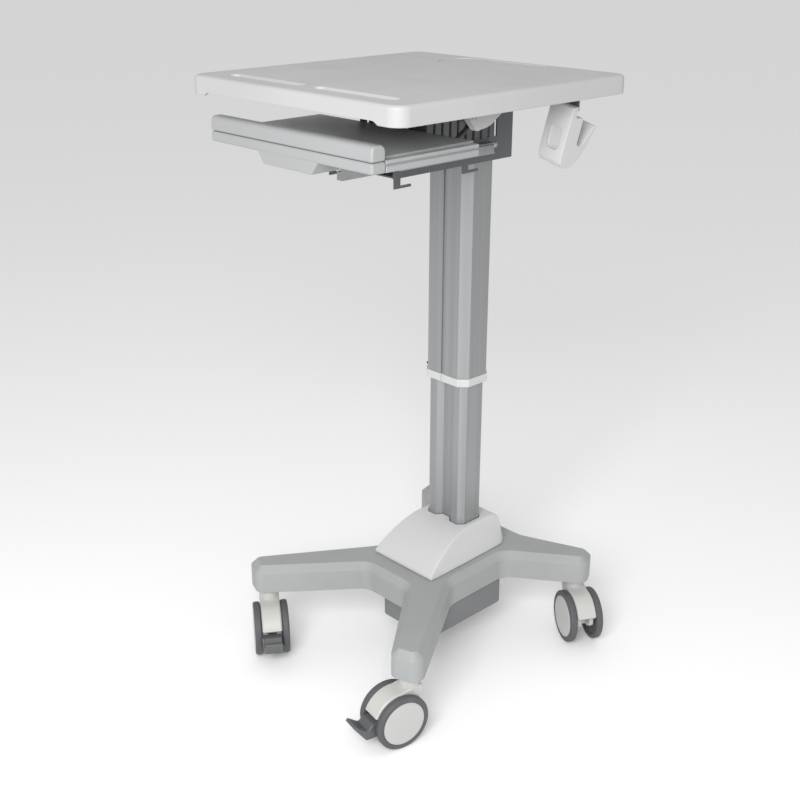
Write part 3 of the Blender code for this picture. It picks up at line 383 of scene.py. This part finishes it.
def anodised(name, colour, roughness, metallic):
    material, tree, shader = startMaterial(name, roughness, metallic)
    lines = useGroup(tree, drawnLines)
    marks = useGroup(tree, handling, Scale=7.0)
    tone = spread(tree, lines.outputs["Tone"], 0.0, 1.0)
    base = mixColour(tree, tone, tint(colour, 0.93), tint(colour, 1.07))
    tree.links.new(base, shader.inputs["Base Color"])
    rough = spread(tree, lines.outputs["Height"], roughness - 0.04, roughness + 0.06)
    smear = spread(tree, marks.outputs["Smear"], -0.03, 0.04)
    tree.links.new(math2(tree, "ADD", rough, smear), shader.inputs["Roughness"])
    bumpFrom(tree, shader, lines.outputs["Height"], 0.00003, 0.5)
    return material


def brightSteel(name, colour, roughness):
    material, tree, shader = startMaterial(name, roughness, 1.0)
    marks = useGroup(tree, handling, Scale=40.0)
    grain = useGroup(tree, mouldGrain, Scale=300.0)
    tone = spread(tree, marks.outputs["Smear"], 0.0, 1.0)
    base = mixColour(tree, tone, tint(colour, 0.9), tint(colour, 1.05))
    tree.links.new(base, shader.inputs["Base Color"])
    rough = spread(tree, marks.outputs["Smear"], roughness - 0.05, roughness + 0.1)
    tree.links.new(rough, shader.inputs["Roughness"])
    bumpFrom(tree, shader, grain.outputs["Height"], 0.00002, 0.4)
    return material


def rubbery(name, colour, roughness=0.62):
    material, tree, shader = startMaterial(name, roughness, 0.0)
    grain = useGroup(tree, mouldGrain, Scale=520.0)
    marks = useGroup(tree, handling, Scale=22.0)
    dusty = spread(tree, marks.outputs["Smear"], 0.0, 0.35, 0.45, 0.75)
    base = mixColour(tree, dusty, tint(colour, 0.95), tint(colour, 1.35))
    tree.links.new(base, shader.inputs["Base Color"])
    rough = spread(tree, grain.outputs["Tone"], roughness - 0.06, roughness + 0.08)
    tree.links.new(rough, shader.inputs["Roughness"])
    bumpFrom(tree, shader, grain.outputs["Height"], 0.0001, 0.6)
    return material


finish = {
    "top": plastic("worktopPlastic", (0.445, 0.445, 0.443), 0.46, 700.0, 0.00006, 0.35),
    "white": plastic("whitePlastic", (0.51, 0.512, 0.51), 0.40, 900.0, 0.00003, 0.3),
    "cover": plastic("coverPlastic", (0.53, 0.53, 0.535), 0.42, 800.0, 0.00004, 0.3),
    "tray": plastic("trayPlastic", (0.335, 0.34, 0.343), 0.44, 850.0, 0.00005, 0.5),
    "base": powderCoat("basePowderCoat", (0.315, 0.325, 0.325), 0.5),
    "bracket": powderCoat("bracketPowderCoat", (0.12, 0.124, 0.128), 0.42, 600.0, 0.00008, 0.3),
    "box": powderCoat("boxPowderCoat", (0.17, 0.175, 0.18), 0.5),
    "column": anodised("columnAnodised", (0.34, 0.345, 0.35), 0.36, 0.8),
    "rail": powderCoat("railAnodised", (0.40, 0.405, 0.41), 0.38, 900.0, 0.00003, 0.3),
    "steel": brightSteel("zincedSteel", (0.42, 0.425, 0.43), 0.3),
    "tyre": rubbery("wheelTread", (0.085, 0.087, 0.09)),
    "pedal": plastic("pedalNylon", (0.095, 0.097, 0.10), 0.5, 600.0, 0.00006, 0.6),
    "disc": plastic("wheelCoverNylon", (0.47, 0.47, 0.458), 0.45, 700.0, 0.00005, 0.3),
    "hood": plastic("casterNylon", (0.50, 0.498, 0.48), 0.42, 700.0, 0.00004, 0.3),
    "black": plastic("blackPlastic", (0.02, 0.02, 0.021), 0.5, 700.0, 0.00005, 0.5),
    "cable": rubbery("cableSheath", (0.012, 0.012, 0.013), 0.45),
    "blackSteel": powderCoat("cylinderPaint", (0.02, 0.02, 0.02), 0.4),
}

# the longest start that fits a node's name gives its finish
nodeFinish = {
    "worksurface": "top", "tray_upper": "tray", "tray_lower": "tray", "release_lever": "white",
    "bag_hook": "white", "column_ring": "white", "base_cover": "cover", "base_frame": "base",
    "bracket": "bracket", "hook_plate": "bracket", "lever_mount": "bracket", "column_head": "bracket",
    "column_outer": "column", "column_inner": "column", "tray_rail": "rail", "slide": "steel",
    "bracket_screw": "steel", "lever_pin": "steel", "gas_rod": "steel", "column_glide": "black",
    "gas_cylinder": "blackSteel", "release_cable": "cable", "ballast_box": "box", "caster_body": "hood",
    "caster_stem": "steel", "caster_axle": "steel", "pedal_pin": "steel", "wheel_cap": "disc",
    "wheel_": "tyre", "brake_pedal": "pedal",
}
for nodeName, node in frame["nodes"].items():
    starts = [start for start in nodeFinish if nodeName.startswith(start)]
    key = nodeFinish[max(starts, key=len)]
    node.data.materials.clear()
    node.data.materials.append(finish[key])
print("materials built")


# worktop: one moulded shell with a rolled rim, two pen troughs and a shallow rear well

worktop = {
    "corner": 0.024, "edgeRound": 0.0066, "lowRound": 0.0022, "wall": 0.005, "skin": 0.006,
    "notch": 0.006, "notchEnd": 0.213, "notchSlope": 0.018, "notchRound": 0.006,
    "notchSpare": 0.01, "notchReach": 0.03,
    "troughLength": 0.182, "troughWidth": 0.025, "troughDepth": 0.0046, "troughCentreX": 0.103,
    "troughCentreY": 0.0475, "lip": 0.0016, "troughStart": 0.0012, "troughRound": 0.0030,
    "troughFlare": [(0.0006, 0.0003), (0.0004, 0.0007), (0.0002, 0.0010), (0.0020, 0.0030)],
    "wellHalf": 0.108, "wellLength": 0.088, "wellLand": 0.0155, "wellRadius": 0.036,
    "wellDepth": 0.0016, "wellStart": 0.0004, "wellFlare": [(0.0003, 0.0004), (0.0006, 0.0022)],
    "smooth": 28,
}
endSpare = 0.0002  # keeps the two rounds at a bar's end from meeting in one edge


def roundBar(name, centre, length, width, low, high):
    x, y = centre
    bar = addBlock(
        name, (x - length / 2, y - width / 2, low), (x + length / 2, y + width / 2, high))
    uprights(bar, width / 2 - endSpare, 12)
    return bar


def flareTop(bar, centre, size, steps):
    for rise, out in steps:  # each step goes up by rise and out by out
        pickFaces(bar, lambda spot, normal: normal.z > 0.9)
        bpy.ops.mesh.extrude_region_move(TRANSFORM_OT_translate={"value": (0, 0, rise)})
        grow = ((size[0] + 2 * out) / size[0], (size[1] + 2 * out) / size[1], 1)
        bpy.ops.transform.resize(value=grow, center_override=(centre[0], centre[1], 0))
        size = (size[0] + 2 * out, size[1] + 2 * out)
        finishEdit()


def buildWorktop():
    low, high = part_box("worksurface")
    spec = worktop
    top = addBlock("worktop", low, high)
    uprights(top, spec["corner"], 14)
    pickFaces(top, lambda spot, normal: normal.z < -0.9)
    bpy.ops.mesh.inset(thickness=spec["wall"])
    bpy.ops.mesh.extrude_region_move(
        TRANSFORM_OT_translate={"value": (0, 0, high.z - low.z - spec["skin"])})
    finishEdit()

    def outerAt(height):
        def test(a, b):
            level = abs(a.z - height) < sameSpot and abs(b.z - height) < sameSpot
            edge = max(abs(a.x), abs(b.x)) > high.x - spec["corner"] - closeBy
            edge = edge or min(a.y, b.y) < low.y + closeBy or max(a.y, b.y) > high.y - closeBy
            return level and edge and insideWall(a) and insideWall(b)
        return test

    def insideWall(point):
        across = abs(point.x) - (high.x - spec["corner"])
        middle = (low.y + high.y) / 2
        along = abs(point.y - middle) - ((high.y - low.y) / 2 - spec["corner"])
        if across > 0 and along > 0:
            return math.hypot(across, along) > spec["corner"] - closeBy
        return max(across, along) > spec["corner"] - closeBy

    pickEdges(top, outerAt(high.z))
    roundPicked(spec["edgeRound"], 6)
    finishEdit()
    pickEdges(top, outerAt(low.z))
    roundPicked(spec["lowRound"], 3)
    finishEdit()

    end, slope = spec["notchEnd"], spec["notchSlope"]
    spare, reach = spec["notchSpare"], spec["notchReach"]
    notch = addBlock(
        "notchCutter", (-end, low.y - spare, low.z - spare),
        (end, low.y + reach, low.z + spec["notch"]))
    pickFaces(notch, lambda spot, normal: normal.z > 0.9)
    bpy.ops.transform.resize(value=((end - slope) / end, 1, 1), center_override=(0, 0, 0))
    finishEdit()
    pickEdges(notch, lambda a, b: a.z > low.z and b.z > low.z and abs(a.x - b.x) < sameSpot)
    roundPicked(spec["notchRound"], 4)
    finishEdit()
    cut(top, notch)

    size = (spec["troughLength"], spec["troughWidth"])
    bottom = high.z - spec["troughDepth"]
    for side in (-1, 1):
        centre = (side * spec["troughCentreX"], low.y + spec["troughCentreY"])
        inner = (size[0] - 2 * spec["lip"], size[1] - 2 * spec["lip"])
        trough = roundBar(
            "troughCutter", centre, inner[0], inner[1], bottom, high.z - spec["troughStart"])
        flareTop(trough, centre, inner, spec["troughFlare"])
        pickEdges(trough, lambda a, b: a.z < bottom + sameSpot and b.z < bottom + sameSpot)
        roundPicked(spec["troughRound"], 4)
        finishEdit()
        cut(top, trough)

    rear = high.y - spec["wellLand"]
    centre = (0, rear - spec["wellLength"] / 2)
    size = (2 * spec["wellHalf"], spec["wellLength"])
    well = addBlock(
        "wellCutter", (-size[0] / 2, rear - size[1], high.z - spec["wellDepth"]),
        (size[0] / 2, rear, high.z - spec["wellStart"]))
    uprights(well, spec["wellRadius"], 12)
    flareTop(well, centre, size, spec["wellFlare"])
    cut(top, well)
    settle(top, "lift", finish["top"], ["worksurface"], spec["smooth"])


buildWorktop()
print("worktop built")


# keyboard tray: the deck with its front lip, and the pan under it
tray = {"deckEdge": 0.0006, "panEdge": 0.0007, "edgeAngle": 25}


def buildTray():
    upper = mergedCopy("trayDeck", "tray_upper")
    softenEdges(upper, tray["deckEdge"], 2, tray["edgeAngle"])
    settle(upper, "tray", finish["tray"], ["tray_upper"])
    lower = mergedCopy("trayPan", "tray_lower")
    softenEdges(lower, tray["panEdge"], 2, tray["edgeAngle"])
    settle(lower, "tray", finish["tray"], ["tray_lower"])


buildTray()
print("tray built")


# base casting, and the white cover round the foot of the column
casting = {"edge": 0.0016, "edgeAngle": 24, "smooth": 30}
columnCover = {"edge": 0.0012, "edgeAngle": 30, "smooth": 40}


def buildBase():
    base = mergedCopy("baseCasting", "base_frame")
    softenEdges(base, casting["edge"], 3, casting["edgeAngle"])
    settle(base, "base", finish["base"], ["base_frame"], casting["smooth"])
    cover = mergedCopy("columnCover", "base_cover")
    softenEdges(cover, columnCover["edge"], 3, columnCover["edgeAngle"])
    settle(
        cover, "base", finish["cover"], ["base_cover"], columnCover["smooth"])


buildBase()
print("base built")


# bag hook, with a shallow pocket in its front face
bagHook = {
    "lean": 13.0, "pivotX": 0.176, "pivotZ": 0.937, "half": 0.0135, "tall": 0.019, "rise": 0.047,
    "depth": 0.0055, "corner": 0.009, "floorRound": 0.003, "ahead": 0.02, "faceIn": 0.0012,
    "edge": 0.0008, "edgeAngle": 25, "smooth": 40,
}


def buildHook():
    hook = mergedCopy("bagHook", "bag_hook")
    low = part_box("bag_hook")[0]
    spec = bagHook
    pocket = addBlock(
        "pocketCutter", (-spec["half"], -spec["ahead"], -spec["tall"]),
        (spec["half"], spec["depth"], spec["tall"]))
    pickEdges(pocket, lambda a, b: abs(a.y - b.y) > spec["ahead"] / 2)
    roundPicked(spec["corner"], 6)
    finishEdit()
    pickEdges(pocket, lambda a, b: min(a.y, b.y) > spec["depth"] - sameSpot)
    roundPicked(spec["floorRound"], 4)
    finishEdit()
    lean = Matrix.Rotation(math.radians(spec["lean"]), 4, "Y")
    pivot = Matrix.Translation((spec["pivotX"], low.y + spec["faceIn"], spec["pivotZ"]))
    pocket.data.transform(pivot @ lean @ Matrix.Translation((0, 0, spec["rise"])))
    cut(hook, pocket)
    softenEdges(hook, spec["edge"], 2, spec["edgeAngle"])
    settle(hook, "lift", finish["white"], ["bag_hook"], spec["smooth"])


buildHook()
print("hook built")


# casters: twin wheels with a flush cover, a hood between them and, at the front, a pedal
wheel = {
    "radius": 0.050, "inner": 0.0195, "outer": 0.0325, "seat": 0.0405, "seatDepth": 0.0046,
    "seatLip": 0.0010, "shoulder": 0.0038, "rimWall": 0.0085, "hollow": 0.003,
    "hubInset": 0.022, "hubRise": 0.0032, "edge": 0.0004, "edgeAngle": 50, "facets": 96,
}
wheelCover = {
    "radius": 0.0398, "rim": 0.0022, "rise": 0.0005, "dish": 0.012, "crown": 0.0004,
    "edge": 0.0005, "edgeAngle": 40,
}
hood = {"edge": 0.0012, "edgeAngle": 25, "smooth": 40}
pedal = {"floor": 0.033, "edge": 0.0009, "edgeAngle": 30, "smooth": 40}


def extrudeBy(y):
    bpy.ops.mesh.extrude_region_move(TRANSFORM_OT_translate={"value": (0, y, 0)})


def buildTyre(side):
    spec = wheel
    depth = spec["outer"] - spec["inner"]
    middle = side * (spec["inner"] + spec["outer"]) / 2
    tyre = addDrum("tyreMaster", (0, middle, 0), spec["radius"], depth, spec["facets"])
    pickFaces(tyre, lambda spot, normal: normal.y * side > 0.9)
    bpy.ops.mesh.inset(thickness=spec["radius"] - spec["seat"] - spec["seatLip"])
    bpy.ops.mesh.inset(thickness=spec["seatLip"])
    extrudeBy(-side * spec["seatDepth"])
    finishEdit()

    def innerFace(spot, normal):
        return normal.y * side < -0.9 and abs(spot.y) < spec["inner"] + closeBy
    pickFaces(tyre, innerFace)
    bpy.ops.mesh.inset(thickness=spec["rimWall"])
    extrudeBy(side * spec["hollow"])
    bpy.ops.mesh.inset(thickness=spec["hubInset"])
    extrudeBy(-side * spec["hubRise"])
    finishEdit()

    def tread(a, b):
        outer = min(a.xz.length, b.xz.length) > spec["radius"] - closeBy
        return outer and abs(a.y - b.y) < sameSpot
    pickEdges(tyre, tread)
    roundPicked(spec["shoulder"], 6)
    finishEdit()
    softenEdges(tyre, spec["edge"], 2, spec["edgeAngle"])
    return tyre


def buildDisc(side):
    spec = wheelCover
    low = wheel["outer"] - wheel["seatDepth"]
    depth = wheel["outer"] - low
    middle = side * (low + depth / 2)
    disc = addDrum("discMaster", (0, middle, 0), spec["radius"], depth, wheel["facets"])
    pickFaces(disc, lambda spot, normal: normal.y * side > 0.9)
    bpy.ops.mesh.inset(thickness=spec["rim"])
    extrudeBy(side * spec["rise"])
    bpy.ops.mesh.inset(thickness=spec["dish"])
    bpy.ops.transform.translate(value=(0, side * spec["crown"], 0))
    finishEdit()
    softenEdges(disc, spec["edge"], 3, spec["edgeAngle"])
    return disc


# a wheel is made about the origin with its axle along Y, and this puts it on its caster
def casterPlace(tag):
    swivel = Vector(joints["swivel_" + tag]["pos_m"])
    hub = Vector(joints["roll_" + tag + "_l"]["pos_m"])
    trail = hub - swivel
    trail.z = 0
    along = trail.normalized()
    across = Vector((-along.y, along.x, 0))
    turn = Matrix((along, across, Vector((0, 0, 1)))).transposed().to_4x4()
    return Matrix.Translation(hub) @ turn


def placeCopy(master, name, place):
    piece = bpy.data.objects.new(name, master.data.copy())
    bpy.context.scene.collection.objects.link(piece)
    piece.data.transform(place)
    return piece


def buildCasters():
    sides = {"l": 1, "r": -1}
    tyres = {name: buildTyre(side) for name, side in sides.items()}
    discs = {name: buildDisc(side) for name, side in sides.items()}
    for tag in ("fl", "fr", "rr", "rl"):
        place = casterPlace(tag)
        for name in sides:
            body = f"wheel_{tag}_{name}"
            tyre = placeCopy(tyres[name], f"tyre_{tag}_{name}", place)
            settle(tyre, body, finish["tyre"], [f"wheel_{tag}_{name}"])
            disc = placeCopy(discs[name], f"disc_{tag}_{name}", place)
            settle(disc, body, finish["disc"], [f"wheel_cap_{tag}_{name}"])
        hoodPiece = mergedCopy(f"hood_{tag}", f"caster_body_{tag}")
        softenEdges(hoodPiece, hood["edge"], 3, hood["edgeAngle"])
        settle(
            hoodPiece, f"caster_{tag}", finish["hood"], [f"caster_body_{tag}"],
            hood["smooth"])
    for master in list(tyres.values()) + list(discs.values()):
        bpy.data.objects.remove(master)


# a pedal's underside is cut flat above the floor
def buildPedals():
    for tag in ("fl", "fr"):
        piece = mergedCopy("pedal_" + tag, "brake_pedal_" + tag)
        only(piece)
        bpy.ops.object.mode_set(mode="EDIT")
        bpy.ops.mesh.select_all(action="SELECT")
        bpy.ops.mesh.bisect(
            plane_co=(0, 0, pedal["floor"]), plane_no=(0, 0, -1), use_fill=True,
            clear_outer=True)
        finishEdit()
        softenEdges(piece, pedal["edge"], 2, pedal["edgeAngle"])
        settle(
            piece, "pedal_" + tag, finish["pedal"], ["brake_pedal_" + tag],
            pedal["smooth"])


buildCasters()
buildPedals()
print("casters built")


# the small set screw on the column's front face, just above the ring
setScrew = {
    "x": -0.046, "rise": 0.0075, "radius": 0.0022, "head": 0.0012, "sunk": 0.0006,
    "chamfer": 0.015, "rim": 0.45, "socket": 0.5, "edge": 0.0003, "edgeAngle": 40, "smooth": 40,
    "facets": 24,
}


def buildSetScrew():
    low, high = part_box("column_outer")
    spec = setScrew
    corner = spec["chamfer"] - (0.5 * (high.x - low.x) - abs(spec["x"]))
    front = low.y + max(0.0, corner)  # further back where it sits on the column's chamfer
    centre = (spec["x"], front - spec["head"] / 2, low.z + spec["rise"])
    screw = addDrum(
        "setScrew", centre, spec["radius"], spec["head"] + spec["sunk"], spec["facets"])
    pickFaces(screw, lambda spot, normal: normal.y < -0.9)
    bpy.ops.mesh.inset(thickness=spec["radius"] * spec["rim"])
    extrudeBy(spec["head"] * spec["socket"])
    finishEdit()
    softenEdges(screw, spec["edge"], 2, spec["edgeAngle"])
    settle(screw, "lift", finish["black"], (), spec["smooth"])


buildSetScrew()
print("set screw built")


# floor, light and camera
studio = {
    "floorSize": 60, "floorDrop": 0.0005, "floorTone": 0.97, "floorRoughness": 0.8,
    "floorSpecular": 0.1, "panelPlace": (1.35, -1.95, 1.85), "panelAim": (0, 0, 0.7),
    "panelSize": (1.5, 1.1), "panelPower": 66, "surroundings": 0.68,
}
camera = {
    "place": (1.382, -1.350, 1.307), "azimuth": 46.24, "down": 22.39, "roll": 0.07, "lens": 52.72,
    "sensor": 36,
}


def buildStage():
    finishEdit()
    bpy.ops.mesh.primitive_plane_add(
        size=studio["floorSize"], location=(0, 0, -studio["floorDrop"]))
    floor = bpy.context.object
    floor.name = "studioFloor"
    material, _, shader = startMaterial("floorPaint", studio["floorRoughness"], 0.0)
    shader.inputs["Base Color"].default_value = (studio["floorTone"],) * 3 + (1,)
    shader.inputs["Specular IOR Level"].default_value = studio["floorSpecular"]
    floor.data.materials.append(material)

    light = bpy.data.lights.new("frontPanel", "AREA")
    light.shape = "RECTANGLE"
    light.size, light.size_y = studio["panelSize"]
    light.energy = studio["panelPower"]
    lamp = bpy.data.objects.new("frontPanel", light)
    lamp.location = studio["panelPlace"]
    aim = Vector(studio["panelAim"]) - Vector(studio["panelPlace"])
    lamp.rotation_euler = aim.to_track_quat("-Z", "Y").to_euler()
    bpy.context.scene.collection.objects.link(lamp)

    bpy.context.scene.view_settings.view_transform = "Standard"
    world = bpy.data.worlds.new("studio")
    bpy.context.scene.world = world
    world.use_nodes = True
    background = world.node_tree.nodes["Background"]
    background.inputs["Color"].default_value = (1, 1, 1, 1)
    background.inputs["Strength"].default_value = studio["surroundings"]


def buildCamera():
    azimuth, down = math.radians(camera["azimuth"]), math.radians(camera["down"])
    look = Vector((
        -math.sin(azimuth) * math.cos(down), math.cos(azimuth) * math.cos(down), -math.sin(down)))
    data = bpy.data.cameras.new("studioCamera")
    data.lens = camera["lens"]
    data.sensor_width = camera["sensor"]
    data.dof.use_dof = False
    body = bpy.data.objects.new("studioCamera", data)
    body.location = camera["place"]
    roll = Matrix.Rotation(math.radians(camera["roll"]), 3, "Z")
    body.rotation_euler = (look.to_track_quat("-Z", "Y").to_matrix() @ roll).to_euler()
    bpy.context.scene.collection.objects.link(body)
    bpy.context.scene.camera = body


buildStage()
buildCamera()
print("stage built")
